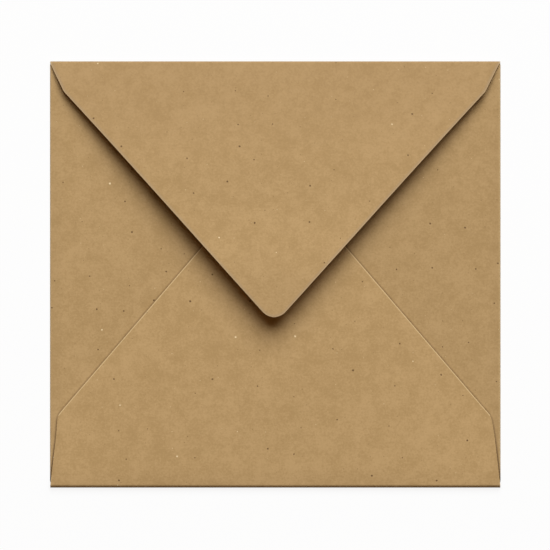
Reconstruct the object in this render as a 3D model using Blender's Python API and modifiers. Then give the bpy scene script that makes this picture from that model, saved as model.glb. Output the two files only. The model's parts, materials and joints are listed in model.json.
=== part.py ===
# Square kraft paper envelope, lying on its address side with the seal flap sprung a little open.
# One die-cut sheet is folded at four creases: the front panel, two side flaps and a bottom flap
# glued to them, and a seal flap that turns on the top crease.
# +X is right and +Y is up the envelope as it is seen from the flap side, +Z is away from the table.
# The origin is under the middle of the front panel, on the table. Everything is in metres.

import math

import bmesh
import bpy
from mathutils import Vector

# Sheet
width = 0.160               # between the outer lines of the two side folds
height = 0.1514             # between the bottom fold and the top crease
paper = 0.0002              # thickness of the kraft sheet
score_gap = 0.0001          # slit that stands for a pressed score line
layer_gap = 0.0003          # air between one layer and the next
fold_room = 0.0012          # clear height left inside a side fold
crease_end_inset = 0.0001   # how far the top and bottom creases stop short of the sides

# Pocket: the back layers stand off the front panel in a shallow pillow
pocket_rise = 0.0034        # clear height that the mouth has beyond the fold room
arch_power = 3.0            # how flat the pillow is from side to side
rise_power = 3.0            # how soon it rises from the bottom fold

# Seal flap, seen from above, with depths measured down from the top crease
seal_corner_depth = 0.0006  # where its sides turn inwards, just past the crease
seal_shoulder_inset = 0.0052
seal_shoulder_depth = 0.0109
seal_shoulder_radius = 0.0040
seal_apex_depth = 0.0935    # where the two straight edges would meet
seal_tip_radius = 0.0055
seal_lift_angle = math.radians(17.5)   # how steeply the flap leaves its crease
seal_crest_depth = 0.075    # where the bowed flap is level again

# Bottom flap, with heights measured up from the bottom fold
bottom_shoulder_inset = 0.0030
bottom_shoulder_height = 0.0254
bottom_shoulder_radius = 0.0050
bottom_apex_height = 0.11525   # where the two straight edges would meet
bottom_tip_radius = 0.012

# Side flaps, with depths down from the top crease and insets from the side fold
side_corner_depth = 0.0012
side_shoulder_inset = 0.0030
side_shoulder_depth = 0.0046
side_shoulder_radius = 0.0020
side_tip_radius = 0.006
throat_half_width = 0.0155  # from the middle to where its top edge runs under the bottom flap
seam_overlap = 0.012        # how far a side flap reaches under the bottom flap's edge

# Glue lines in the side seams
glue_film = 0.0001
glue_width = 0.006
glue_setback = 0.0025
glue_end_gap = 0.005
glue_corner_radius = 0.0015

# Gum band inside the seal flap
gum_film = 0.00006
gum_clearance = 0.0001
gum_width = 0.010
gum_setback = 0.0020
gum_end_gap = 0.006
gum_corner_radius = 0.0015

# Fineness of the meshes
cell = 0.0055               # grid spacing on the bowed sheets
arc_step = math.radians(15)
snap = 0.00002              # grid lines this close to an outline point take that point

# Colours and gloss
kraft_tone = (0.479, 0.310, 0.141)
glue_tone = (0.560, 0.440, 0.260)
gum_tone = (0.540, 0.380, 0.170)
paper_roughness = 0.85
glue_roughness = 0.45
gum_roughness = 0.30

# Places that follow from the sizes
half_width = width / 2
top_y = height / 2
bottom_y = -height / 2
side_fold_radius = paper + fold_room / 2
end_fold_radius = (fold_room + 3 * paper + layer_gap) / 2
side_flap_level = 1.5 * paper + fold_room
bottom_flap_level = side_flap_level + paper + layer_gap
glue_level = (side_flap_level + bottom_flap_level) / 2
panel_half_width = half_width - side_fold_radius - score_gap
panel_half_height = top_y - end_fold_radius - score_gap

# The seal flap's profile: a roll from the slit up to the lift angle, then the bow
roll_radius = end_fold_radius - paper / 2
roll_start = score_gap / 2 / roll_radius
roll_end = math.pi / 2 - seal_lift_angle
roll_depth = end_fold_radius - roll_radius * math.cos(roll_end)
roll_top = end_fold_radius + roll_radius * math.sin(roll_end)
seal_start_depth = roll_depth - roll_radius * (roll_end - roll_start)


def start_collection():
    """Empties the file and gives the envelope its own collection."""
    for old in list(bpy.data.objects):
        bpy.data.objects.remove(old, do_unlink=True)
    collection = bpy.data.collections.new("square_kraft_envelope")
    bpy.context.scene.collection.children.link(collection)
    return collection


def make_material(name, colour, roughness):
    """A plain Principled material."""
    material = bpy.data.materials.new(name)
    material.use_nodes = True
    shader = material.node_tree.nodes["Principled BSDF"]
    shader.inputs["Base Color"].default_value = (*colour, 1.0)
    shader.inputs["Roughness"].default_value = roughness
    shader.inputs["Metallic"].default_value = 0.0
    return material


def add_object(collection, name, mesh, material):
    """Links a mesh into the envelope's collection under its own name."""
    item = bpy.data.objects.new(name, mesh)
    collection.objects.link(item)
    mesh.materials.append(material)
    return item


def thicken(item, thickness):
    """Gives an open surface its wall, half on each side."""
    wall = item.modifiers.new("thickness", "SOLIDIFY")
    wall.thickness = thickness
    wall.offset = 0.0
    wall.use_even_offset = True


def rounded(corners):
    """Outline through (point, radius) corners, with each radius made an arc of short steps."""
    points = []
    for i, (point, radius) in enumerate(corners):
        here = Vector(point)
        back = (Vector(corners[i - 1][0]) - here).normalized()
        ahead = (Vector(corners[(i + 1) % len(corners)][0]) - here).normalized()
        if radius == 0:
            points.append(here)
            continue
        half = back.angle(ahead) / 2
        centre = here + (back + ahead).normalized() * (radius / math.sin(half))
        first = here + back * (radius / math.tan(half)) - centre
        turn = math.copysign(math.pi - 2 * half, ahead.cross(back))
        steps = max(2, round(abs(turn) / arc_step))
        start = math.atan2(first.y, first.x)
        for k in range(steps + 1):
            angle = start + turn * k / steps
            points.append(centre + radius * Vector((math.cos(angle), math.sin(angle))))
    return points


def crossing(p, q, r, s):
    """Where the line through p and q meets the line through r and s."""
    along, across = q - p, s - r
    return p + along * ((r - p).cross(across) / along.cross(across))


def spaced(low, high, step):
    """Places from low to high, evenly spaced and no further apart than step."""
    count = max(1, math.ceil((high - low) / step))
    return [low + (high - low) * k / count for k in range(count + 1)]


def add_sheet(collection, name, outline, rows, place, thickness, material):
    """A flat outline, cut into a grid, bent into shape by place(x, v) and given its thickness.
    rows are the grid lines across v, and the lines across x stand a cell apart from the middle out.
    """
    bm = bmesh.new()
    bm.faces.new([bm.verts.new((p.x, p.y, 0.0)) for p in outline])
    reach = max(abs(p.x) for p in outline)
    columns = [0.0]
    for k in range(1, math.ceil(reach / cell)):
        columns += [k * cell, -k * cell]
    cuts = [((x, 0, 0), (1, 0, 0)) for x in columns] + [((0, v, 0), (0, 1, 0)) for v in rows]
    for point, normal in cuts:
        everything = bm.verts[:] + bm.edges[:] + bm.faces[:]
        bmesh.ops.bisect_plane(bm, geom=everything, dist=snap, plane_co=point, plane_no=normal)
    bmesh.ops.triangulate(bm, faces=bm.faces[:])
    for vert in bm.verts:
        vert.co = place(vert.co.x, vert.co.y)
    bmesh.ops.recalc_face_normals(bm, faces=bm.faces[:])
    mesh = bpy.data.meshes.new(name)
    bm.to_mesh(mesh)
    bm.free()
    mesh.shade_smooth()
    item = add_object(collection, name, mesh, material)
    thicken(item, thickness)
    return item


def add_fold(collection, name, axis, centre, half_length, radius, turn, material):
    """A crease: the sheet's edge, carried round the middle line of the roll by a Screw.
    The roll starts on the front panel at the bottom, and turn gives how far round it goes.
    """
    along = Vector((1, 0, 0)) if axis == "X" else Vector((0, 1, 0))
    start = Vector((0, 0, -radius))
    mesh = bpy.data.meshes.new(name)
    mesh.from_pydata([start - along * half_length, start + along * half_length], [(0, 1)], [])
    item = add_object(collection, name, mesh, material)
    item.location = centre
    roll = item.modifiers.new("roll", "SCREW")
    roll.axis = axis
    roll.angle = turn
    roll.steps = math.ceil(abs(turn) / arc_step)
    roll.render_steps = roll.steps
    roll.use_merge_vertices = False
    thicken(item, paper)
    return item


def pocket_height(x, y):
    """How far the pillow lifts the back layers at a place: nothing at the folds, most at the mouth."""
    across = min(abs(x) / (half_width - side_fold_radius), 1.0)
    up = (y - bottom_y - end_fold_radius) / (height - end_fold_radius)
    up = min(max(up, 0.0), 1.0)
    return pocket_rise * (1 - across ** arch_power) * (1 - (1 - up) ** rise_power)


def back_layer(level):
    """A layer of the back that lies at the given level and follows the pillow."""
    return lambda x, y: Vector((x, y, level + pocket_height(x, y)))


def flap_layer(offset):
    """A surface beside the seal flap's middle, seen from the hinge line: the roll, then the bow."""
    slope = math.tan(seal_lift_angle)

    def place(x, depth):
        if depth < roll_depth:
            angle = roll_end - (roll_depth - depth) / roll_radius
            y = top_y - end_fold_radius + roll_radius * math.cos(angle)
            z = end_fold_radius + roll_radius * math.sin(angle)
        else:
            run = depth - roll_depth
            y = top_y - depth
            z = roll_top + slope * run * (1 - run / (2 * (seal_crest_depth - roll_depth)))
        return Vector((x, y - top_y, z + offset - end_fold_radius))

    return place


def bottom_edge(side):
    """The straight edge of the bottom flap on one side: its shoulder and its apex."""
    shoulder = Vector((side * (half_width - bottom_shoulder_inset), bottom_y + bottom_shoulder_height))
    return shoulder, Vector((0.0, bottom_y + bottom_apex_height))


def seam_frame(side):
    """Directions along the bottom flap's edge, up the seam, and square to it, into the flap."""
    shoulder, apex = bottom_edge(side)
    along = (apex - shoulder).normalized()
    inward = Vector((-along.y, along.x)) * side
    return along, inward


def throat_point(side):
    """Where the side flap's top edge runs under the bottom flap's edge."""
    shoulder, apex = bottom_edge(side)
    upright = Vector((side * throat_half_width, 0.0))
    return crossing(shoulder, apex, upright, upright + Vector((0.0, 1.0)))


def add_front_panel(collection, material):
    """The address side: the flat middle of the sheet."""
    bm = bmesh.new()
    bmesh.ops.create_cube(bm, size=1.0)
    bmesh.ops.scale(bm, verts=bm.verts, vec=(2 * panel_half_width, 2 * panel_half_height, paper))
    bmesh.ops.translate(bm, verts=bm.verts, vec=(0.0, 0.0, paper / 2))
    mesh = bpy.data.meshes.new("front_panel")
    bm.to_mesh(mesh)
    bm.free()
    return add_object(collection, "front_panel", mesh, material)


def add_folds(collection, material):
    """The four creases. The top one goes only halfway round, up to the slit the flap turns on."""
    half_turn = math.pi
    side_middle = side_fold_radius - paper / 2
    side_reach = top_y - end_fold_radius - layer_gap
    end_reach = half_width - crease_end_inset
    for side, name in ((-1, "left_fold"), (1, "right_fold")):
        centre = Vector((side * (half_width - side_fold_radius), 0.0, side_fold_radius))
        add_fold(collection, name, "Y", centre, side_reach, side_middle, -side * half_turn, material)
    bottom = Vector((0.0, bottom_y + end_fold_radius, end_fold_radius))
    add_fold(collection, "bottom_fold", "X", bottom, end_reach, roll_radius, -half_turn, material)
    top = Vector((0.0, top_y - end_fold_radius, end_fold_radius))
    turn = half_turn / 2 - roll_start
    add_fold(collection, "top_fold", "X", top, end_reach, roll_radius, turn, material)


def add_side_flap(collection, side, name, material):
    """A side flap: a triangle with a blunt tip that runs well under the bottom flap."""
    fold_x = side * panel_half_width
    along, inward = seam_frame(side)
    shoulder, apex = bottom_edge(side)
    top_shoulder = Vector((side * (half_width - side_shoulder_inset), top_y - side_shoulder_depth))
    hidden = shoulder + inward * seam_overlap
    tip = crossing(top_shoulder, throat_point(side), hidden, hidden + along)
    low = crossing(hidden, hidden + along, Vector((fold_x, 0.0)), Vector((fold_x, 1.0)))
    outline = rounded([
        ((fold_x, top_y - side_corner_depth), 0),
        (top_shoulder, side_shoulder_radius),
        (tip, side_tip_radius),
        (low, 0),
    ])
    rows = spaced(low.y, top_y, cell)
    place = back_layer(side_flap_level)
    add_sheet(collection, name, outline, rows, place, paper, material)


def add_bottom_flap(collection, material):
    """The bottom flap: nearly straight sides up to its shoulders, then two edges to a round tip."""
    start = -panel_half_height
    corner_x = half_width - crease_end_inset
    right, apex = bottom_edge(1)
    left = bottom_edge(-1)[0]
    outline = rounded([
        ((-corner_x, start), 0),
        ((corner_x, start), 0),
        (right, bottom_shoulder_radius),
        (apex, bottom_tip_radius),
        (left, bottom_shoulder_radius),
    ])
    rows = spaced(start, apex.y, cell)
    place = back_layer(bottom_flap_level)
    add_sheet(collection, "bottom_flap", outline, rows, place, paper, material)


def add_seam_glue(collection, side, name, material):
    """The line of glue that holds the bottom flap down on a side flap."""
    along, inward = seam_frame(side)
    shoulder = bottom_edge(side)[0]
    low = shoulder + along * glue_end_gap + inward * glue_setback
    high = throat_point(side) - along * glue_end_gap + inward * glue_setback
    outline = rounded([
        (low, glue_corner_radius),
        (high, glue_corner_radius),
        (high + inward * glue_width, glue_corner_radius),
        (low + inward * glue_width, glue_corner_radius),
    ])
    rows = spaced(low.y, high.y, cell)
    place = back_layer(glue_level)
    add_sheet(collection, name, outline, rows, place, glue_film, material)


def seal_rows(low, high):
    """Grid lines across the seal flap: fine round the roll and a cell apart down the bow."""
    roll = spaced(seal_start_depth, roll_depth, arc_step * roll_radius)
    bow = spaced(roll_depth, seal_apex_depth, cell)
    return [v for v in roll[1:] + bow[1:] if low < v < high]


def add_seal_flap(collection, hinge, material):
    """The flap that closes the mouth, with its half of the top crease."""
    corner_x = half_width - crease_end_inset
    shoulder_x = half_width - seal_shoulder_inset
    outline = rounded([
        ((corner_x, seal_start_depth), 0),
        ((-corner_x, seal_start_depth), 0),
        ((-corner_x, seal_corner_depth), 0),
        ((-shoulder_x, seal_shoulder_depth), seal_shoulder_radius),
        ((0.0, seal_apex_depth), seal_tip_radius),
        ((shoulder_x, seal_shoulder_depth), seal_shoulder_radius),
        ((corner_x, seal_corner_depth), 0),
    ])
    rows = seal_rows(seal_start_depth, seal_apex_depth)
    flap = add_sheet(collection, "seal_flap", outline, rows, flap_layer(0.0), paper, material)
    flap.parent = hinge


def add_seal_gum(collection, hinge, material):
    """The V of dry gum on the inner face of the seal flap, set back from its two straight edges."""
    shoulder = Vector((half_width - seal_shoulder_inset, seal_shoulder_depth))
    apex = Vector((0.0, seal_apex_depth))
    along = (apex - shoulder).normalized()
    inward = Vector((-along.y, along.x))
    outer = shoulder + along * gum_end_gap + inward * gum_setback
    inner = outer + inward * gum_width
    middle = Vector((0.0, 0.0)), Vector((0.0, 1.0))
    outer_tip = crossing(outer, outer + along, *middle)
    inner_tip = crossing(inner, inner + along, *middle)
    outline = rounded([
        (outer, gum_corner_radius),
        (inner, gum_corner_radius),
        (inner_tip, 0),
        ((-inner.x, inner.y), gum_corner_radius),
        ((-outer.x, outer.y), gum_corner_radius),
        (outer_tip, seal_tip_radius - gum_setback),
    ])
    below = -(paper / 2 + gum_clearance + gum_film / 2)
    rows = seal_rows(inner.y, outer_tip.y)
    gum = add_sheet(collection, "seal_gum", outline, rows, flap_layer(below), gum_film, material)
    gum.parent = hinge


def main():
    collection = start_collection()
    kraft = {}
    names = ("front_panel", "folds", "side_flaps", "bottom_flap", "seal_flap")
    for name in names:
        kraft[name] = make_material("kraft_" + name, kraft_tone, paper_roughness)
    glue = make_material("dried_glue", glue_tone, glue_roughness)
    gum = make_material("dry_gum", gum_tone, gum_roughness)

    add_front_panel(collection, kraft["front_panel"])
    add_folds(collection, kraft["folds"])
    add_side_flap(collection, -1, "left_side_flap", kraft["side_flaps"])
    add_side_flap(collection, 1, "right_side_flap", kraft["side_flaps"])
    add_bottom_flap(collection, kraft["bottom_flap"])
    add_seam_glue(collection, -1, "left_seam_glue", glue)
    add_seam_glue(collection, 1, "right_seam_glue", glue)

    hinge = bpy.data.objects.new("top_crease_line", None)
    hinge.location = (0.0, top_y, end_fold_radius)
    collection.objects.link(hinge)
    add_seal_flap(collection, hinge, kraft["seal_flap"])
    add_seal_gum(collection, hinge, gum)


main()
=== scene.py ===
import json
import math
import bpy
import numpy as np
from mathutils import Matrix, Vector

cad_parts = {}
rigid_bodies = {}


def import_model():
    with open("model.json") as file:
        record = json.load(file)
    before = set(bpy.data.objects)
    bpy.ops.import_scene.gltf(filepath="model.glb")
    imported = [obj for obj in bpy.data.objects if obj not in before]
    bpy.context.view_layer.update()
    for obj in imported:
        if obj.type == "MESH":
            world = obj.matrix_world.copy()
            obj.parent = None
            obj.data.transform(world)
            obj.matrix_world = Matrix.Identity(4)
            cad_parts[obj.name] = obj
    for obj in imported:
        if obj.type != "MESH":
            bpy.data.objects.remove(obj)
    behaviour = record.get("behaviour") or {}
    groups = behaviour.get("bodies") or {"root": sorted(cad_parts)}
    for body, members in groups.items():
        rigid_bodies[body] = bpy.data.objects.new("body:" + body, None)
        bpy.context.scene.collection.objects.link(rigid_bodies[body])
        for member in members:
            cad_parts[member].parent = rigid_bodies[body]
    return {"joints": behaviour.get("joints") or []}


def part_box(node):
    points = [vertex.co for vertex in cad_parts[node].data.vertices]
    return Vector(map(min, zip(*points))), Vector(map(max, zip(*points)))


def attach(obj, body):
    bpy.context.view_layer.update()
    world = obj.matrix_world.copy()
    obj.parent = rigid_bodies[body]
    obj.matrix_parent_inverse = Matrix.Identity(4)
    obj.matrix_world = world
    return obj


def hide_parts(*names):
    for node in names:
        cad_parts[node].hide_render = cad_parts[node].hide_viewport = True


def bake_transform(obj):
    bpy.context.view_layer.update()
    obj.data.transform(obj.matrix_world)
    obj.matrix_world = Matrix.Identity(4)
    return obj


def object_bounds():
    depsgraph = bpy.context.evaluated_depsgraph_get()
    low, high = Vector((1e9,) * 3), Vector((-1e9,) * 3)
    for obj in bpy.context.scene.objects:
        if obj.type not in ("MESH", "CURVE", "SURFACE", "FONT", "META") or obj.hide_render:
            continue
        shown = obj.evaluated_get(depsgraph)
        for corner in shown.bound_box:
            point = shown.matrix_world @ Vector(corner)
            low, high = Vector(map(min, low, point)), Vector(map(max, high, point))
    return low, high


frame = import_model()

# Square kraft envelope, seen from the flap side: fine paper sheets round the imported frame.
# x is right, y is up the envelope and z is away from the table, all in metres.
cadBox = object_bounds()
halfWidth = cadBox[1].x
topY = cadBox[1].y
bottomY = cadBox[0].y
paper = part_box("front_panel")[1].z                 # thickness of the sheet
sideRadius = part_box("left_fold")[1].z / 2          # outer radius of a side fold
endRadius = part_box("bottom_fold")[1].z / 2         # outer radius of the bottom and top folds
rollRadius = endRadius - paper / 2                 # the same to the middle of the sheet
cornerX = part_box("bottom_fold")[1].x               # the end folds stop a little short of the sides
body = frame["joints"][0]["parent"]
flap = frame["joints"][0]["child"]
print("frame: envelope", round(2000 * halfWidth, 2), "by", round(1000 * (topY - bottomY), 2), "mm")


class Wire:
    # one socket of a node tree, so that sums of sockets are written as Python expressions
    def __init__(self, tree, socket):
        self.tree = tree
        self.socket = socket

    def node(self, kind, settings, sockets, output=0):
        # any node: its settings come first, then its sockets' values or links
        made = self.tree.nodes.new(kind)
        for name, value in settings.items():
            setattr(made, name, value)
        for name, value in sockets.items():
            if isinstance(value, Wire):
                self.tree.links.new(value.socket, made.inputs[name])
            else:
                made.inputs[name].default_value = value
        return Wire(self.tree, made.outputs[output])

    def sibling(self, output):
        # another output of the node that this socket belongs to
        return Wire(self.tree, self.socket.node.outputs[output])

    def into(self, target):
        # links this socket to a node's input
        self.tree.links.new(self.socket, target)

    def maths(self, kind, first, second):
        return self.node("ShaderNodeMath", {"operation": kind}, {0: first, 1: second})

    def clamped(self, low, high, first=0.0, last=1.0):
        # goes from first to last as the value goes from low to high, smoothly, and no further
        settings = {"interpolation_type": "SMOOTHSTEP"}
        sockets = {"Value": self, "From Min": low, "From Max": high, "To Min": first, "To Max": last}
        return self.node("ShaderNodeMapRange", settings, sockets)

    def __abs__(self):
        return self.maths("ABSOLUTE", self, 0.0)

    def __add__(self, other):
        return self.maths("ADD", self, other)

    def __radd__(self, other):
        return self.maths("ADD", other, self)

    def __sub__(self, other):
        return self.maths("SUBTRACT", self, other)

    def __rsub__(self, other):
        return self.maths("SUBTRACT", other, self)

    def __mul__(self, other):
        return self.maths("MULTIPLY", self, other)

    def __rmul__(self, other):
        return self.maths("MULTIPLY", other, self)


specularLevel = 0.25         # paper, dry films and the table reflect half as much as a usual surface


def newMaterial(name, roughness):
    # an empty Principled material; gives back the material, its shader and its Object coordinates
    material = bpy.data.materials.new(name)
    material.use_nodes = True
    tree = material.node_tree
    shader = tree.nodes["Principled BSDF"]
    shader.inputs["Roughness"].default_value = roughness
    shader.inputs["Metallic"].default_value = 0.0
    shader.inputs["Specular IOR Level"].default_value = specularLevel
    place = Wire(tree, tree.nodes.new("ShaderNodeTexCoord").outputs["Object"])
    return material, shader, place


def newObject(name, data):
    # an object of the scene that shows the given mesh, light or camera
    item = bpy.data.objects.new(name, data)
    bpy.context.scene.collection.objects.link(item)
    return item


def mixColours(factor, first, second):
    # colour mix: Mix's colour sockets are 6 and 7, and its colour output is 2
    return factor.node("ShaderNodeMix", {"data_type": "RGBA"}, {0: factor, 6: first, 7: second}, 2)


def noise(place, scale, detail, roughness, distortion=0.0, output=0):
    # a noise texture, with its scale in cells a metre; output 0 is a value and output 1 a colour
    sockets = {"Vector": place, "Scale": scale, "Detail": detail, "Roughness": roughness,
               "Distortion": distortion}
    return place.node("ShaderNodeTexNoise", {}, sockets, output)


def addBump(shader, relief, strength):
    # bump from a height in metres
    bump = relief.node("ShaderNodeBump", {}, {"Height": relief, "Strength": strength, "Distance": 1.0})
    bump.into(shader.inputs["Normal"])


kraft = {
    "light": (0.454, 0.297, 0.134, 1),       # paler clouds
    "deep": (0.378, 0.241, 0.100, 1),        # darker clouds
    "darkFleckAndShade": (0.070, 0.030, 0.008, 1),        # dark flecks, and the colour that all painted shade mixes in
    "straw": (0.860, 0.700, 0.430, 1),       # cream flecks
    "cutCoreAndHighlight": (0.660, 0.480, 0.250, 1),        # the paler core of a freshly cut edge, which also serves as painted highlight on cut edges and folds
    "shadowGrey": (0.372, 0.262, 0.150, 1),        # greyer strip along the seal flap's cut edge, painted shade: the greyer look that the dark shadow beside the edge gives the paper
    "clouds": (1 / 0.0055, 4.0, 0.72),       # noises: scale in cells a metre, detail and roughness
    "broad": (28.0, 2.0, 0.5),
    "grain": (1250.0, 3.0, 0.6),
    "jitter": (1900.0, 2.0, 0.5),
    "fibre": (1.0, 2.0, 0.6, 0.6),           # the same and the distortion, on stretched places
    "toneShares": (0.50, 0.14, 0.46),        # how much clouds, broad and grain count for the tone
    "toneRange": (0.41, 0.69),               # their sums that give the deep and the light tone
    "fibreStretch": (260.0, 2600.0, 1.0),    # cells a metre along and across a fibre
    "fibreTurns": (0.4, 1.9, 2.8),           # directions of the three lays of fibres, in radians
    "paleFibres": (0.64, 0.80, 0.0, 0.42),   # noise where they set in and are full, and their strengths
    "darkFibres": (0.36, 0.22, 0.0, 0.50),
    "jitterReach": 0.00035,                  # how far the outline of a fleck strays
    "fleckEdge": 0.00012,                    # width of its soft edge
    "fleckScatter": 0.9,                     # 0 puts the flecks in rows, 1 anywhere in their cells
    "fleckCut": 0.001,                       # chance within this of the share gives a faint fleck
    "flecks": (              # spacing, share that shows, least and greatest radius, colour, strength
        (0.0125, 0.68, 0.00018, 0.00042, "darkFleckAndShade", 0.78),
        (0.0047, 0.50, 0.00009, 0.00021, "darkFleckAndShade", 0.48),
        (0.0210, 0.26, 0.00020, 0.00042, "straw", 0.80),
        (0.0085, 0.42, 0.00010, 0.00021, "straw", 0.50),
    ),
    "stripReach": (0.00125, 0.00035),        # distances from the cut edge: where it sets in, is full
    "rimReach": (0.00038, 0.00018),
    "lineReach": (0.00018, 0.00008),
    "rubbedWidth": 0.0009,                   # painted light: the side folds are made paler this far in, against the shade where they turn down
    "rubbed": 0.40,
    "reliefs": (0.000016, 0.000030, 0.000030),   # heights of the grain, the fibres and the clouds
    "roughness": 0.82,
    "roughnessSwing": 0.06,                  # how far the grain changes it, up and down
    "roughnessNoise": (0.3, 0.7),            # grain that gives the least and the greatest
}


def spots(place, spacing, share, small, large):
    # round flecks: one seed point in each cell of the given spacing, of which a share shows,
    # with a radius between small and large and a soft edge, all in metres; the texture measures
    # distances in cells, and its colour is chance: red picks the flecks and green their size
    settings = {"voronoi_dimensions": "2D", "feature": "F1"}
    sockets = {"Vector": place, "Scale": 1 / spacing, "Randomness": kraft["fleckScatter"]}
    distance = place.node("ShaderNodeTexVoronoi", settings, sockets)
    red = place.node("ShaderNodeSeparateColor", {}, {0: distance.sibling("Color")})
    green = red.sibling(1)
    radius = green * ((large - small) / spacing) + small / spacing
    inside = (radius - distance).clamped(0.0, kraft["fleckEdge"] / spacing)
    chosen = (share - red).clamped(0.0, kraft["fleckCut"])
    return inside * chosen


def withFibres(colour, place, light, deep):
    # adds pale and dark fibres, from noises that are each stretched in a direction of their own;
    # gives back the colour and the noise of the pale ones
    lays = []
    for turn in kraft["fibreTurns"]:
        stretched = place.node("ShaderNodeMapping", {}, {
            "Vector": place, "Rotation": (0, 0, turn), "Scale": kraft["fibreStretch"]})
        lays.append(noise(stretched, *kraft["fibre"]))
    threads = lays[0]
    for lay in lays[1:]:
        threads = threads.maths("MAXIMUM", threads, lay)
    colour = mixColours(threads.clamped(*kraft["paleFibres"]), colour, light)
    colour = mixColours(lays[1].clamped(*kraft["darkFibres"]), colour, deep)
    return colour, threads


def withFlecks(colour, place):
    # adds dark and cream flecks, at places that a fine noise shifts so that the outlines are uneven
    jitter = noise(place, *kraft["jitter"], output=1)
    reach = (kraft["jitterReach"], kraft["jitterReach"], 0.0)
    shifted = place.node("ShaderNodeVectorMath", {"operation": "MULTIPLY_ADD"}, {
        0: jitter, 1: reach, 2: place})
    for spacing, share, small, large, colourName, strength in kraft["flecks"]:
        fleck = spots(shifted, spacing, share, small, large)
        colour = mixColours(fleck * strength, colour, kraft[colourName])
    return colour


def withEdges(colour, place, rimStrength, lineStrength):
    # by the distance to the cut edge, which is the attribute's third output: a greyer strip, painted
    # for the shadow beside the edge; the pale rim, partly the paler core of the cut paper and partly a
    # painted highlight where the edge catches the light; and a dark line, painted shade at the very
    # edge
    cut = place.node("ShaderNodeAttribute", {"attribute_name": "cut"}, {}, 2)
    for reach, strength, colourName in (
        ("stripReach", lineStrength, "shadowGrey"),
        ("rimReach", rimStrength, "cutCoreAndHighlight"),
        ("lineReach", lineStrength, "darkFleckAndShade"),
    ):
        colour = mixColours(cut.clamped(*kraft[reach]) * strength, colour, kraft[colourName])
    return colour


def kraftMaterial(name, shift, tone=1.0, rimStrength=0.5, lineStrength=0.0, shade=None):
    # uncoated kraft: soft clouds, fine fibres, a few dark and cream flecks and pale cut edges, partly a
    # painted highlight;
    # shift gives each piece its own part of the texture, tone makes it a little lighter or darker than
    # the others, painted light and shade that even out how the light falls on the pieces; lineStrength
    # is for both the dark line and the greyer strip along the cut edge, both painted shade; and
    # shade(x, y) is how much painted shade is mixed in at a place
    light = (*(tone * part for part in kraft["light"][:3]), 1)
    deep = (*(tone * part for part in kraft["deep"][:3]), 1)
    material, shader, place = newMaterial(name, kraft["roughness"])
    shifted = place.node("ShaderNodeMapping", {}, {"Vector": place, "Location": shift})
    clouds = noise(shifted, *kraft["clouds"])
    broad = noise(shifted, *kraft["broad"])
    grain = noise(shifted, *kraft["grain"])
    cloudShare, broadShare, grainShare = kraft["toneShares"]
    tones = clouds * cloudShare + broad * broadShare + grain * grainShare
    colour = mixColours(tones.clamped(*kraft["toneRange"]), deep, light)
    colour, threads = withFibres(colour, shifted, light, deep)
    colour = withFlecks(colour, shifted)
    colour = withEdges(colour, place, rimStrength, lineStrength)
    x = place.node("ShaderNodeSeparateXYZ", {}, {0: place})
    y = x.sibling(1)
    # painted light at the outer edge of the side folds, against their shade as they turn down
    rubbed = abs(x).clamped(halfWidth - kraft["rubbedWidth"], halfWidth, 0.0, kraft["rubbed"])
    colour = mixColours(rubbed, colour, kraft["cutCoreAndHighlight"])
    # painted shade from the piece's shade function
    if shade is not None:
        colour = mixColours(shade(x, y), colour, kraft["darkFleckAndShade"])
    colour.into(shader.inputs["Base Color"])

    grainRelief, fibreRelief, cloudRelief = kraft["reliefs"]
    addBump(shader, grain * grainRelief + threads * fibreRelief + clouds * cloudRelief, 1.0)
    least = kraft["roughness"] - kraft["roughnessSwing"]
    most = kraft["roughness"] + kraft["roughnessSwing"]
    grain.clamped(*kraft["roughnessNoise"], least, most).into(shader.inputs["Roughness"])
    return material


grid = {
    "step": 0.0012,              # largest distance between the rows and columns of a sheet
    "edgeBand": 0.0012,          # width of the strip of fine columns along a cut edge
    "edgeShares": (0.40, 0.65, 0.82, 0.93, 1.0),   # places of these columns in it, the edge last
    "tipGap": 0.0002,            # a grid ends this far from a tip, so that no row is without width
    "rollRows": 25,              # rows round an end fold
    "arcStep": math.radians(6),  # largest turn between two points of an arc
    "sharpAngle": math.radians(50),
}


def roundedPath(corners):
    # a path through (x, y, radius) corners: at each inner corner an arc touches both of its lines
    points = [np.array(corners[0][:2])]
    for before, here, after in zip(corners, corners[1:], corners[2:]):
        radius = here[2]
        spot = np.array(here[:2])
        if radius == 0:
            points.append(spot)
            continue
        back = np.array(before[:2]) - spot
        ahead = np.array(after[:2]) - spot
        back /= np.linalg.norm(back)
        ahead /= np.linalg.norm(ahead)
        half = math.acos(float(back @ ahead)) / 2
        centre = spot + (back + ahead) / np.linalg.norm(back + ahead) * radius / math.sin(half)
        first = spot + back * radius / math.tan(half) - centre
        turn = math.copysign(math.pi - 2 * half, ahead[0] * back[1] - ahead[1] * back[0])
        steps = max(2, math.ceil(abs(turn) / grid["arcStep"]))
        angles = math.atan2(first[1], first[0]) + turn * np.linspace(0, 1, steps + 1)
        points += list(centre + radius * np.column_stack((np.cos(angles), np.sin(angles))))
    points.append(np.array(corners[-1][:2]))
    return np.array(points)


def halfOutline(corners):
    # the right half of a symmetric sheet's outline, as far as the middle of its tip: the last
    # corner is the shoulder on the left, and only gives the tip's arc its second line
    path = roundedPath(corners)[:-1]
    return path[path[:, 0] > grid["tipGap"]]


def filled(path):
    # the same path with more points, so that none are further apart than the grid's step
    pieces = []
    for first, last in zip(path, path[1:]):
        count = max(1, math.ceil(np.linalg.norm(last - first) / grid["step"]))
        pieces.append(first + (last - first) * (np.arange(count) / count)[:, None])
    return np.vstack(pieces + [path[-1:]])


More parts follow.
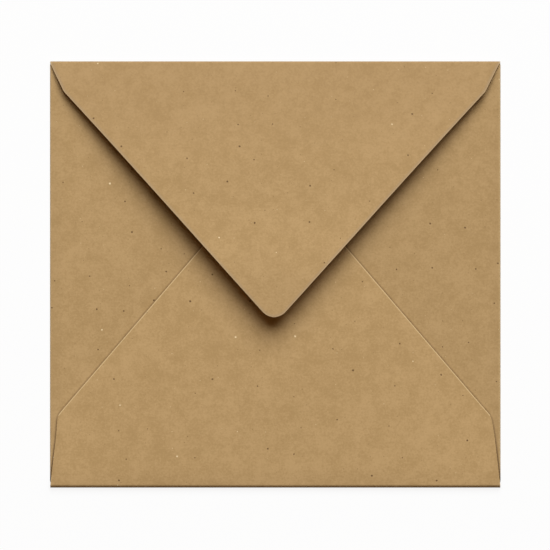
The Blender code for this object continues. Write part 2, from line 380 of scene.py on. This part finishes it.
def distanceTo(path, x, y):
    # least distance from each place to a path of straight pieces: the place is put at right
    # angles onto each piece, or onto its nearer end; 1e-18 stands in for no length at all
    best = np.full(x.shape, 1.0)
    for (ax, ay), (bx, by) in zip(path, path[1:]):
        dx, dy = bx - ax, by - ay
        share = ((x - ax) * dx + (y - ay) * dy) / max(dx * dx + dy * dy, 1e-18)
        share = np.clip(share, 0, 1)
        best = np.minimum(best, np.hypot(x - ax - share * dx, y - ay - share * dy))
    return best


def spread(low, high):
    # for each row, places from low to high: fine next to both ends and even in between
    band = np.minimum(grid["edgeBand"], (high - low) / 4)[:, None]
    count = math.ceil(float(np.max(high - low)) / grid["step"])
    first = low[:, None] + band
    last = high[:, None] - band
    shares = np.array(grid["edgeShares"])
    inner = first + (last - first) * np.linspace(0, 1, count + 1)
    return np.hstack((first - band * shares[::-1], inner, last + band * shares))


def paperObject(name, middle, thickness, material, cut=None):
    # a closed sheet round a middle surface on a grid: each side lies half the thickness away
    # along the surface's normal, and four strips close the rim; cut is the distance to the cut
    # edge, a whole metre where none matters
    rows, columns = middle.shape[:2]
    if cut is None:
        cut = np.ones((rows, columns))
    across = np.gradient(middle, axis=1)
    down = np.gradient(middle, axis=0)
    normal = np.cross(across, down)
    normal /= np.linalg.norm(normal, axis=2, keepdims=True)
    upper = (middle + normal * thickness / 2).reshape(-1, 3)
    lower = (middle - normal * thickness / 2).reshape(-1, 3)
    index = np.arange(rows * columns).reshape(rows, columns)
    under = index + rows * columns
    a, b, c, d = index[:-1, :-1], index[:-1, 1:], index[1:, 1:], index[1:, :-1]
    faces = [np.stack((a, b, c, d), axis=2).reshape(-1, 4)]
    faces.append(np.stack((a, d, c, b), axis=2).reshape(-1, 4) + rows * columns)
    for line, lineUnder in (
        (index[0, ::-1], under[0, ::-1]),
        (index[-1], under[-1]),
        (index[:, 0], under[:, 0]),
        (index[::-1, -1], under[::-1, -1]),
    ):
        faces.append(np.stack((line[:-1], line[1:], lineUnder[1:], lineUnder[:-1]), axis=1))
    mesh = bpy.data.meshes.new(name)
    mesh.from_pydata(np.vstack((upper, lower)).tolist(), [], np.vstack(faces).tolist())
    attribute = mesh.attributes.new("cut", "FLOAT", "POINT")
    attribute.data.foreach_set("value", np.tile(cut.ravel(), 2).astype(np.float32))
    mesh.shade_smooth()
    mesh.set_sharp_from_angle(angle=grid["sharpAngle"])
    mesh.materials.append(material)
    return newObject(name, mesh)


def symmetricSheet(name, half, place, material, cutLevel):
    # a sheet that is the same left and right: each point of its half outline (half width, v)
    # gives one row, and place(x, v) bends it; its edge counts as cut where v is above cutLevel
    rows = filled(half)
    x = spread(-rows[:, 0], rows[:, 0])
    v = np.broadcast_to(rows[:, 1:], x.shape)
    cut = distanceTo(half[half[:, 1] > cutLevel], np.abs(x), v)
    return paperObject(name, place(x, v), paper, material, cut)


def crossing(p, along, q, across):
    # where the line from p along one direction meets the line from q along another
    gap = q - p
    reach = (gap[0] * across[1] - gap[1] * across[0]) / (along[0] * across[1] - along[1] * across[0])
    return p + along * reach


def onUpright(p, along, x):
    # where the line from p along one direction reaches the given x
    return crossing(p, along, np.array((x, 0.0)), np.array((0.0, 1.0)))


pillow = {
    "rise": 0.0034,          # height that the back gains at the mouth
    "archPower": 2.0,        # flatness from side to side
    "risePower": 3.0,        # how soon it rises from the bottom fold
    "ripple": 0.00006,       # height of the slow ripple of the paper
    "waves": (               # of the ripple: radians a metre across and up, start, height
        (210, 170, 1.3, 0.5),
        (210, -170, 1.3, 0.5),
        (95, -140, 2.1, 0.6),
        (310, 250, 0.0, 0.5),
    ),
}


def ripple(x, y):
    # four slanting sine waves, 16 to 37 mm long, over the sum of their heights
    total = sum(height * np.sin(across * x + up * y + start)
                for across, up, start, height in pillow["waves"])
    return total / sum(wave[3] for wave in pillow["waves"])


def pocketHeight(x, y):
    # the pillow: 1 minus a power of the share across, times the same from the mouth down,
    # with a ripple on it that also dies out at the folds
    acrossShare = np.clip(np.abs(x) / (halfWidth - sideRadius), 0, 1)
    upShare = np.clip((y - bottomY - endRadius) / (topY - bottomY - endRadius), 0, 1)
    swell = (1 - acrossShare ** pillow["archPower"]) * (1 - (1 - upShare) ** pillow["risePower"])
    return swell * (pillow["rise"] + pillow["ripple"] * ripple(x, y))


frontPanel = {
    "columns": 64,
    "rows": 60,
    "shift": (0.05, 0.43, 0),
}


def makeFrontPanel():
    # the flat address side, from fold to fold
    reachX = halfWidth - sideRadius
    reachY = topY - endRadius
    x, y = np.meshgrid(np.linspace(-reachX, reachX, frontPanel["columns"]),
                       np.linspace(-reachY, reachY, frontPanel["rows"]))
    middle = np.stack((x, y, np.full(x.shape, paper / 2)), axis=2)
    material = kraftMaterial("frontKraft", frontPanel["shift"], rimStrength=0.0)
    piece = paperObject("frontPanelSheet", middle, paper, material)
    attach(piece, body)
    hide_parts("front_panel")


bottomFlap = {
    "shoulderInset": 0.0030,  # from the side of the envelope
    "shoulderHeight": 0.0254, # from its foot
    "shoulderRadius": 0.0050,
    "apexHeight": 0.11525,    # where the straight edges would meet
    "tipRadius": 0.012,
    "skew": 0.0005,           # how far it was folded over to the left
    "skewBelow": 0.008,       # it sets in this far below its shoulders
    "skewAbove": 0.004,       # and is full this far above them
    "shift": (0.31, 0.12, 0),
    # painted light: the bottom flap is a little lighter, which evens out its slope away from the light
    "tone": 1.05,
    # strength of its pale rim, partly the paler cut paper and partly a painted highlight where its
    # slanting edges catch the light
    "rim": 0.85,
    "sideShade": 0.045,       # painted shade: the back is a little darker towards its sides
    "sideShadeWidth": 0.006,
    "footShade": 0.07,        # and towards its foot
    "footShadeHeight": 0.009,
    "foldShade": 0.50,        # painted shade: the fold is darker where it turns down to the table, away from the light
    "foldShadeReach": (0.0013, 0.0004),   # heights where this sets in and is full
}
shoulder = np.array((halfWidth - bottomFlap["shoulderInset"], bottomY + bottomFlap["shoulderHeight"]))
apex = np.array((0.0, bottomY + bottomFlap["apexHeight"]))
seamAlong = (apex - shoulder) / np.linalg.norm(apex - shoulder)
seamInward = np.array((-seamAlong[1], seamAlong[0]))      # square to the edge, into the flap
shoulderY = float(shoulder[1])
skewLevels = (shoulderY - bottomFlap["skewBelow"], shoulderY + bottomFlap["skewAbove"])


def bottomSkew(y):
    # the bottom flap lies a little to the left from its shoulders up, and keeps its place below:
    # three times the square of the share passed, less twice its cube
    share = np.clip((y - skewLevels[0]) / (skewLevels[1] - skewLevels[0]), 0, 1)
    return bottomFlap["skew"] * share * share * (3 - 2 * share)


def borderShade(x, y):
    # painted shade of the whole back, towards its sides and its foot
    sideStart = halfWidth - bottomFlap["sideShadeWidth"]
    footStart = bottomY + bottomFlap["footShadeHeight"]
    side = abs(x).clamped(sideStart, halfWidth, 0.0, bottomFlap["sideShade"])
    foot = y.clamped(footStart, bottomY, 0.0, bottomFlap["footShade"])
    return side + foot


def foldShade(x, y):
    # painted shade of the bottom flap at its fold, and along its border
    high, low = bottomFlap["foldShadeReach"]
    return y.clamped(bottomY + high, bottomY + low, 0.0, bottomFlap["foldShade"]) + borderShade(x, y)


def makeBottomFlap():
    # the bottom fold's half roll, then the flap over both side flaps
    level = 2 * endRadius - paper / 2
    foldY = bottomY + endRadius
    start = foldY - math.pi * rollRadius
    half = halfOutline([
        (cornerX, start, 0),
        (cornerX, foldY, 0),
        (*shoulder, bottomFlap["shoulderRadius"]),
        (*apex, bottomFlap["tipRadius"]),
        (-shoulder[0], shoulderY, 0),
    ])

    def place(x, v):
        # up to the fold's end v goes round the roll, and past it v is y
        angle = math.pi / 2 - (foldY - np.minimum(v, foldY)) / rollRadius
        y = np.where(v < foldY, foldY - rollRadius * np.cos(angle), v)
        z = np.where(v < foldY, endRadius + rollRadius * np.sin(angle), level + pocketHeight(x, y))
        return np.stack((x - bottomSkew(y), y, z), axis=2)

    rollLevels = np.linspace(start, foldY, grid["rollRows"])
    roll = np.column_stack((np.full(grid["rollRows"], cornerX), rollLevels))
    half = np.vstack((roll, half[half[:, 1] > foldY]))
    material = kraftMaterial("bottomKraft", bottomFlap["shift"], bottomFlap["tone"], bottomFlap["rim"],
                             shade=foldShade)
    piece = symmetricSheet("bottomFlapSheet", half, place, material, shoulderY)
    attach(piece, body)
    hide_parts("bottom_flap", "bottom_fold")


sideFlap = {
    "cornerDepth": 0.0012,               # its edge starts this far below the top of the envelope
    "shoulderInset": 0.0030,
    "shoulderDepth": 0.0046,
    "shoulderRadius": 0.0020,
    "tipRadius": 0.006,
    "throatHalfWidth": 0.0155,           # from the middle to where its edge meets the bottom flap's
    "seamOverlap": 0.012,                # how far it goes on under the bottom flap
    "rollRows": 16,                      # rows round a side fold
    "seamShades": (0.42, 0.85),          # painted crevice shade at the bottom flap's shoulders and at the lower corners
    "seamShadeReach": (0.0009, 0.0001),  # distances from its edge where this sets in and is full
    "seamShadeBlend": 0.0022,            # rounds it off where two edges meet
}


def outsideOf(x, y, point, along):
    # how far a place lies to the right of the line from a point along a direction
    return (x - float(point[0])) * float(along[1]) - (y - float(point[1])) * float(along[0])


def seamShade(x, y):
    # painted shade in the crevice beside the bottom flap: how far a place lies outside each of its two
    # straight edges, the greater of the two, and dark in the last part of a millimetre; x is first
    # moved back by the flap's skew, so that left and right are alike
    across = abs(x + y.clamped(*skewLevels, 0.0, bottomFlap["skew"]))
    corner = np.array((cornerX, bottomY + endRadius))
    steep = (shoulder - corner) / np.linalg.norm(shoulder - corner)
    slantGap = outsideOf(across, y, shoulder, seamAlong)
    steepGap = outsideOf(across, y, shoulder, steep)
    sockets = {0: slantGap, 1: steepGap, 2: sideFlap["seamShadeBlend"]}
    outside = slantGap.node("ShaderNodeMath", {"operation": "SMOOTH_MAX"}, sockets)
    near = outside.clamped(*sideFlap["seamShadeReach"])
    depth = y.clamped(shoulderY, float(corner[1]), *sideFlap["seamShades"])
    return near * depth + borderShade(x, y)


def sideOutline(foldX):
    # from the top of the fold round the shoulder and the tip, then back along the hidden edge
    topShoulder = np.array((halfWidth - sideFlap["shoulderInset"], topY - sideFlap["shoulderDepth"]))
    throat = onUpright(shoulder, seamAlong, sideFlap["throatHalfWidth"])
    hidden = shoulder + seamInward * sideFlap["seamOverlap"]
    tip = crossing(topShoulder, throat - topShoulder, hidden, seamAlong)
    low = onUpright(hidden, seamAlong, foldX)
    return roundedPath([
        (foldX, topY - sideFlap["cornerDepth"], 0),
        (*topShoulder, sideFlap["shoulderRadius"]),
        (*tip, sideFlap["tipRadius"]),
        (*low, 0),
    ])


def makeSideFlap(side, name, nodes, shift, tone):
    # a side fold's half roll, then the flap: for each place across, y runs between two edges, and
    # these places are the points of both edges, to a thousandth of a millimetre, and even steps
    radius = sideRadius - paper / 2
    level = 2 * sideRadius - paper / 2
    foldX = halfWidth - sideRadius
    outline = sideOutline(foldX)
    turn = int(np.argmin(outline[:, 0]))
    upper, lower = outline[:turn + 1], outline[turn:]
    even = np.arange(outline[turn, 0], foldX, grid["step"])
    flapX = np.unique(np.round(np.concatenate((upper[:, 0], lower[:, 0], even)), 6))
    flapX = flapX[flapX > outline[turn, 0] + grid["tipGap"]][::-1]
    flapHigh = np.interp(flapX, upper[::-1, 0], upper[::-1, 1])
    flapLow = np.interp(flapX, lower[:, 0], lower[:, 1])

    # round the fold both edges move from the front panel's corners to the flap's, by the height
    rollRows = sideFlap["rollRows"]
    angles = np.linspace(-math.pi / 2, math.pi / 2, rollRows + 1)[:-1]
    share = (np.sin(angles) + 1) / 2
    panelTop = topY - endRadius
    rollHigh = panelTop + (flapHigh[0] - panelTop) * share
    rollLow = -panelTop + (flapLow[0] + panelTop) * share
    y = spread(np.concatenate((rollLow, flapLow)), np.concatenate((rollHigh, flapHigh)))
    x = np.concatenate((foldX + radius * np.cos(angles), flapX))
    x = np.broadcast_to(x[:, None], y.shape)
    z = np.empty(y.shape)
    z[:rollRows] = (sideRadius + radius * np.sin(angles))[:, None]
    z[rollRows:] = level + pocketHeight(x[rollRows:], y[rollRows:])
    middle = np.stack((side * x, y, z), axis=2)
    material = kraftMaterial(name + "Kraft", shift, tone, shade=seamShade)
    piece = paperObject(name, middle, paper, material, distanceTo(outline, x, y))
    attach(piece, body)
    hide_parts(*nodes)


sealFlap = {
    "cornerDepth": 0.0006,    # where its sides turn inwards, just past the crease
    "shoulderInset": 0.0052,
    "shoulderDepth": 0.0109,
    "shoulderRadius": 0.0040,
    "apexDepth": 0.0935,      # where the straight edges would meet
    "tipRadius": 0.0055,
    "edgeBow": 0.0003,        # how far the long edges curve inwards
    "edgeStep": 0.003,        # distance between the points of such an edge
    "edgeEnd": 0.008,         # and how far above the apex they stop
    "shift": 0.00020,         # how far it lies to the left
    "shiftDepth": 0.003,      # depth at which all of that is reached
    "skew": 0.0025,           # and how far it leans to the left, per metre of depth
    "liftAngle": math.radians(17.5),
    "crestDepth": 0.075,      # where the bowed flap is level again
    "wave": 0.00024,          # the bow starts steeper and goes on flatter by this much
    "sag": 0.00055,           # and lies lower by this much past its middle
    "sagStart": 0.45,         # shares of the run to the crest: where the sag begins
    "sagLength": 0.60,        # and how long it is
    "ripple": 0.00008,
    "rippleRun": 0.03,        # run over which the ripple sets in
    "rippleShift": 0.02,      # so that it isn't the ripple of the back
    "rippleStretch": 1.2,
    "textureShift": (0.17, 0.29, 0),
    "line": 0.7,              # strength of the dark line and the greyer strip along its edge, both painted shade
    "creaseShade": 0.22,      # painted shade: it is a little darker towards its crease, where its slope faces the light
    "creaseShadeDepth": 0.060,
}
rollEnd = math.pi / 2 - sealFlap["liftAngle"]                 # angle where the roll meets the bow
rollDepth = endRadius - rollRadius * math.cos(rollEnd)
rollTop = endRadius + rollRadius * math.sin(rollEnd)
slitDepth = rollDepth - rollRadius * rollEnd                  # depths along the sheet
panelDepth = slitDepth - rollRadius * math.pi / 2


def creaseShade(x, y):
    # painted shade of the seal flap towards its crease, which is the same all across
    return y.clamped(topY - sealFlap["creaseShadeDepth"], topY, 0.0, sealFlap["creaseShade"])


def sealPlace(offset):
    # the seal flap's middle, moved up by offset: round the roll by the angle left before its end,
    # then a bow whose height is slope times run, less a square term that levels it at the crest,
    # plus one sine wave as long as the run to the crest, less a squared sine for the sag
    slope = math.tan(sealFlap["liftAngle"])
    crestRun = sealFlap["crestDepth"] - rollDepth

    def place(x, depth):
        angle = rollEnd - (rollDepth - np.minimum(depth, rollDepth)) / rollRadius
        run = np.maximum(depth - rollDepth, 0.0)
        y = np.where(depth < rollDepth, topY - endRadius + rollRadius * np.cos(angle), topY - depth)
        rollZ = endRadius + rollRadius * np.sin(angle)
        bowZ = rollTop + slope * run * (1 - run / (2 * crestRun))
        bowZ += sealFlap["wave"] * np.sin(2 * math.pi * np.minimum(run / crestRun, 1))
        sagShare = np.clip((run / crestRun - sealFlap["sagStart"]) / sealFlap["sagLength"], 0, 1)
        bowZ -= sealFlap["sag"] * np.sin(math.pi * sagShare) ** 2
        waves = ripple(x + sealFlap["rippleShift"], y * sealFlap["rippleStretch"])
        bowZ += sealFlap["ripple"] * np.clip(run / sealFlap["rippleRun"], 0, 1) * waves
        z = np.where(depth < rollDepth, rollZ, bowZ) + offset
        left = sealFlap["shift"] * np.clip(depth / sealFlap["shiftDepth"], 0, 1)
        left = left + sealFlap["skew"] * np.maximum(depth, 0)
        return np.stack((x - left, y, z), axis=2)

    return place


def makeSealFlap():
    # one sheet from the front panel's top edge, round the crease and down to the point
    high, low = sealFlap["shoulderDepth"], sealFlap["apexDepth"]
    shoulderX = halfWidth - sealFlap["shoulderInset"]
    half = halfOutline([
        (cornerX, panelDepth, 0),
        (cornerX, sealFlap["cornerDepth"], 0),
        (shoulderX, high, sealFlap["shoulderRadius"]),
        (0.0, low, sealFlap["tipRadius"]),
        (-shoulderX, high, 0),
    ])
    rollLevels = np.linspace(panelDepth, rollDepth, grid["rollRows"])
    edgeLevels = np.arange(high, low - sealFlap["edgeEnd"], sealFlap["edgeStep"])
    levels = np.unique(np.concatenate((half[:, 1], rollLevels, edgeLevels)))
    # the long edges are bowed by the share past the shoulder times the square of the share left,
    # and 27 / 4 makes the greatest value of that 1
    passed = np.clip((levels - high) / (low - high), 0, 1)
    inwards = sealFlap["edgeBow"] * 27 / 4 * passed * (1 - passed) ** 2
    half = np.column_stack((np.interp(levels, half[:, 1], half[:, 0]) - inwards, levels))
    material = kraftMaterial("sealKraft", sealFlap["textureShift"], lineStrength=sealFlap["line"],
                             shade=creaseShade)
    piece = symmetricSheet("sealFlapSheet", half, sealPlace(0.0), material, slitDepth)
    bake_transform(piece)
    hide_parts("seal_flap", "top_fold")


film = {
    "glueWidth": 0.006,
    "glueSetback": 0.0025,   # from the edge of the bottom flap
    "glueEndGap": 0.005,     # between its ends and those of the straight edge
    "glueFill": 0.9,         # share of the space between the flaps that the glue fills
    "glueColours": ((0.62, 0.55, 0.42, 1), (0.70, 0.64, 0.52, 1)),
    "gumWidth": 0.010,
    "gumSetback": 0.0020,
    "gumEndGap": 0.006,
    "gumThickness": 0.00006,
    "gumGap": 0.00001,       # between the gum and the flap, so that no two faces coincide
    "gumInnerRadius": 0.002,
    "gumColours": ((0.40, 0.26, 0.115, 1), (0.45, 0.30, 0.140, 1)),
    "gumCoat": 0.05,
    "coatRoughness": 0.40,
    "roughness": 0.60,
    "patches": (320.0, 3.0, 0.5),            # noise: scale in cells a metre, detail and roughness
    "patchRange": (0.35, 0.65),              # noise of the first and of the second colour
    "relief": 0.00001,
    "bumpStrength": 0.7,
    "corner": 0.0015,        # radius of its rounded ends
    "endShares": (0, 0.05, 0.15, 0.3, 0.5, 0.75),   # places of the columns within a rounded end
    "step": 0.0008,          # distance between the columns past it
    "rows": 13,
    "wander": 0.00018,       # how far the edge of a spread film strays
    "firstWaves": ((900, 0), (2300, 1)),     # of each edge: radians a metre and start
    "secondWaves": ((1100, 2), (2700, 0)),
}


def stray(places, waves):
    # an edge's straying: the sum of its sine waves, times the wander
    return film["wander"] * sum(np.sin(turns * places + start) for turns, start in waves)


def band(firstEdge, secondEdge, width):
    # x and y of a strip between two edges: its ends are rounded by drawing both edges in as
    # a quarter circle, and its edges stray by two sine waves each
    both = np.hstack((roundedPath(firstEdge), roundedPath(secondEdge)))
    passed = np.append(0, np.cumsum(np.hypot(*np.diff(both[:, :2], axis=0).T)))
    corner = film["corner"]
    ends = corner * np.array(film["endShares"])
    even = np.arange(corner, passed[-1] - corner, film["step"])
    places = np.concatenate((ends, even, passed[-1] - ends[::-1]))
    firstX, firstY, secondX, secondY = (
        np.interp(places, passed, values)[:, None] for values in both.T)
    near = np.minimum(np.minimum(places, passed[-1] - places), corner)
    inset = corner - np.sqrt(corner ** 2 - (corner - near) ** 2) + 2 * film["wander"]
    low = (inset + stray(places, film["firstWaves"])) / width
    high = 1 - (inset - stray(places, film["secondWaves"])) / width
    share = low[:, None] + (high - low)[:, None] * np.linspace(0, 1, film["rows"])
    return firstX + (secondX - firstX) * share, firstY + (secondY - firstY) * share


def filmMaterial(name, colours, coat):
    # a dried film: two tones in soft patches, and a slightly uneven surface
    material, shader, place = newMaterial(name, film["roughness"])
    shader.inputs["Coat Weight"].default_value = coat
    shader.inputs["Coat Roughness"].default_value = film["coatRoughness"]
    patches = noise(place, *film["patches"])
    mixColours(patches.clamped(*film["patchRange"]), *colours).into(shader.inputs["Base Color"])
    addBump(shader, patches * film["relief"], film["bumpStrength"])
    return material


def makeSeamGlue(side, name, node, material):
    # the line of glue between a side flap and the bottom flap, nearly as thick as the space there
    throat = onUpright(shoulder, seamAlong, sideFlap["throatHalfWidth"])
    low = shoulder + seamAlong * film["glueEndGap"] + seamInward * film["glueSetback"]
    high = throat - seamAlong * film["glueEndGap"] + seamInward * film["glueSetback"]
    across = seamInward * film["glueWidth"]
    outerEdge = [(*low, 0), (*high, 0)]
    innerEdge = [(*(low + across), 0), (*(high + across), 0)]
    x, y = band(outerEdge, innerEdge, film["glueWidth"])
    sideTop = 2 * sideRadius
    flapUnder = 2 * endRadius - paper
    z = (sideTop + flapUnder) / 2 + pocketHeight(x, y)
    middle = np.stack((side * x, y, z), axis=2)
    piece = paperObject(name, middle, film["glueFill"] * (flapUnder - sideTop), material)
    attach(piece, body)
    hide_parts(node)


def makeSealGum():
    # the dry gum inside the seal flap, a V set back from its two straight edges
    start = np.array((halfWidth - sealFlap["shoulderInset"], sealFlap["shoulderDepth"]))
    point = np.array((0.0, sealFlap["apexDepth"]))
    along = (point - start) / np.linalg.norm(point - start)
    inward = np.array((-along[1], along[0]))
    edges = []
    for setback, radius in (
        (film["gumSetback"], sealFlap["tipRadius"] - film["gumSetback"]),
        (film["gumSetback"] + film["gumWidth"], film["gumInnerRadius"]),
    ):
        end = start + along * film["gumEndGap"] + inward * setback
        tip = onUpright(end, along, 0.0)
        edges.append([(-end[0], end[1], 0), (*tip, radius), (*end, 0)])
    x, depth = band(*edges, film["gumWidth"])
    below = -(paper + film["gumThickness"]) / 2 - film["gumGap"]
    material = filmMaterial("gumFilm", film["gumColours"], film["gumCoat"])
    piece = paperObject("sealGumBand", sealPlace(below)(x, depth), film["gumThickness"], material)
    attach(piece, flap)
    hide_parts("seal_gum")


makeFrontPanel()
makeSideFlap(-1, "leftSideSheet", ("left_side_flap", "left_fold"), (0.02, 0.07, 0), 1.00)
# the right side flap's tone 0.96 is painted shade, which evens out the light falling more on its slope
makeSideFlap(1, "rightSideSheet", ("right_side_flap", "right_fold"), (0.51, 0.33, 0), 0.96)
makeBottomFlap()
makeSealFlap()
print("sheets: front panel, two side flaps, bottom flap and seal flap")

glueFilm = filmMaterial("glueFilm", film["glueColours"], 0.0)
makeSeamGlue(-1, "leftGlueLine", "left_seam_glue", glueFilm)
makeSeamGlue(1, "rightGlueLine", "right_seam_glue", glueFilm)
makeSealGum()
print("films: two glue lines and the gum band")

studio = {
    "keyPower": 248.0,
    "keySize": 3.1,
    "keyDistance": 4.0,
    "keyLean": (0.11, 0.85, 1.0),          # from the table towards the key light
    "keyTint": (0.97, 1.0, 1.03),
    "ambient": 0.12,
    "ambientTint": (1.0, 0.58, 0.24, 1),   # warm, so that the shadows are brown
    "white": (1, 1, 1, 1),
    "tableReach": 3.0,
    "tableLevel": -0.0001,                 # a tenth of a millimetre below the envelope
    "tableTone": (0.09, 0.09, 0.09, 1),
    "tableRoughness": 0.9,
    "tableGlow": 0.878,                    # the table shines by itself, so shadows on it are faint
}


def makeTable():
    # a large pale square under the envelope
    mesh = bpy.data.meshes.new("table")
    reach = studio["tableReach"]
    corners = [(x, y, studio["tableLevel"]) for x, y in (
        (-reach, -reach), (reach, -reach), (reach, reach), (-reach, reach))]
    mesh.from_pydata(corners, [], [(0, 1, 2, 3)])
    material, shader = newMaterial("paleTable", studio["tableRoughness"])[:2]
    shader.inputs["Base Color"].default_value = studio["tableTone"]
    shader.inputs["Emission Color"].default_value = studio["white"]
    shader.inputs["Emission Strength"].default_value = studio["tableGlow"]
    mesh.materials.append(material)
    table = newObject("table", mesh)


def makeKeyLight():
    # a large square soft box behind the top edge, which shines at the middle of the table and
    # isn't seen by the camera
    light = bpy.data.lights.new("keyLight", "AREA")
    light.shape = "SQUARE"
    light.size = studio["keySize"]
    light.energy = studio["keyPower"]
    light.color = studio["keyTint"]
    item = newObject("keyLight", light)
    direction = np.array(studio["keyLean"]) / np.linalg.norm(studio["keyLean"])
    item.location = direction * studio["keyDistance"]
    item.rotation_euler = item.location.to_track_quat("Z", "Y").to_euler()
    item.visible_camera = False


def makeRoom():
    # a weak warm light all round, which the camera sees as white
    world = bpy.data.worlds.new("paleRoom")
    bpy.context.scene.world = world
    world.use_nodes = True
    tree = world.node_tree
    background = tree.nodes["Background"]
    seen = Wire(tree, tree.nodes.new("ShaderNodeLightPath").outputs["Is Camera Ray"])
    mixColours(seen, studio["ambientTint"], studio["white"]).into(background.inputs["Color"])
    strength = seen * (1 - studio["ambient"]) + studio["ambient"]
    strength.into(background.inputs["Strength"])


camera = {
    "aim": (-0.000107, -0.000188),     # place on the table in the middle of the picture
    "distance": 4.0,
    "frameWidth": 0.1954,              # width of the table that the picture shows
    "sensor": 36.0,
    "clipEnd": 20.0,
}


def makeCamera():
    # straight down, with a lens so long that there is no perspective to see
    lens = bpy.data.cameras.new("camera")
    lens.sensor_width = camera["sensor"]
    lens.lens = camera["sensor"] * camera["distance"] / camera["frameWidth"]
    lens.clip_end = camera["clipEnd"]
    item = newObject("camera", lens)
    item.location = (*camera["aim"], camera["distance"])
    bpy.context.scene.camera = item


makeTable()
makeKeyLight()
makeRoom()
makeCamera()
bpy.context.scene.view_settings.view_transform = "Standard"
print("studio: table, key light and the camera")
